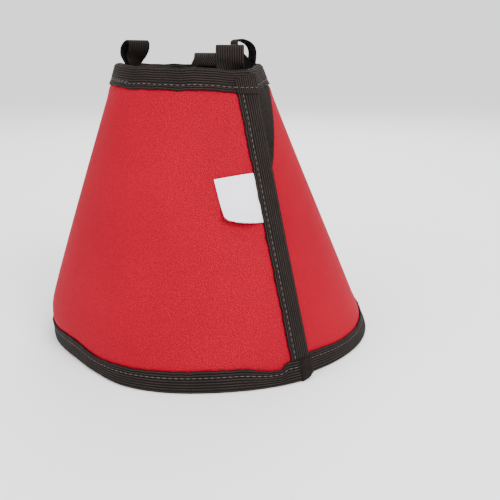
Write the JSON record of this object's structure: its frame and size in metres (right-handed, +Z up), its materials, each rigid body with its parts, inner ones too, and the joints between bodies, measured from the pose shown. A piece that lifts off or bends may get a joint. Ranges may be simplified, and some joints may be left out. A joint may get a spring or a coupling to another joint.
{
  "type": "fabric elizabethan collar",
  "caption": "Soft cone worn round a pet's neck to stop it licking a wound, lapped and closed with hook and loop, with loops for the pet's own collar.",
  "frame": {"origin": "middle of the wide hem's outline, on the surface that the cone stands on", "axes": "+Z up along the cone from the hem to the neck, -Y to the front, where the free edge of the lap runs, +X to the right seen from the front"},
  "size_m": [0.2589, 0.2568, 0.2276],
  "materials": {
    "red_nylon": "woven nylon over thin foam, matte with a slight sheen",
    "black_elastic": "ribbed elastic tape, matte",
    "black_closure": "hook-and-loop strip, matte pile",
    "white_label": "woven satin ribbon, soft sheen"
  },
  "bodies": {
    "root": {"cone_panel": "red_nylon", "hem_binding": "black_elastic", "neck_binding": "black_elastic", "front_edge_binding": "black_elastic", "under_edge_binding": "black_elastic", "loop_tape": "black_closure", "hook_tape": "black_closure", "side_label": "white_label", "collar_loop_front": "black_elastic", "collar_loop_right": "black_elastic", "collar_loop_back": "black_elastic", "collar_loop_left": "black_elastic"}
  },
  "joints": []
}
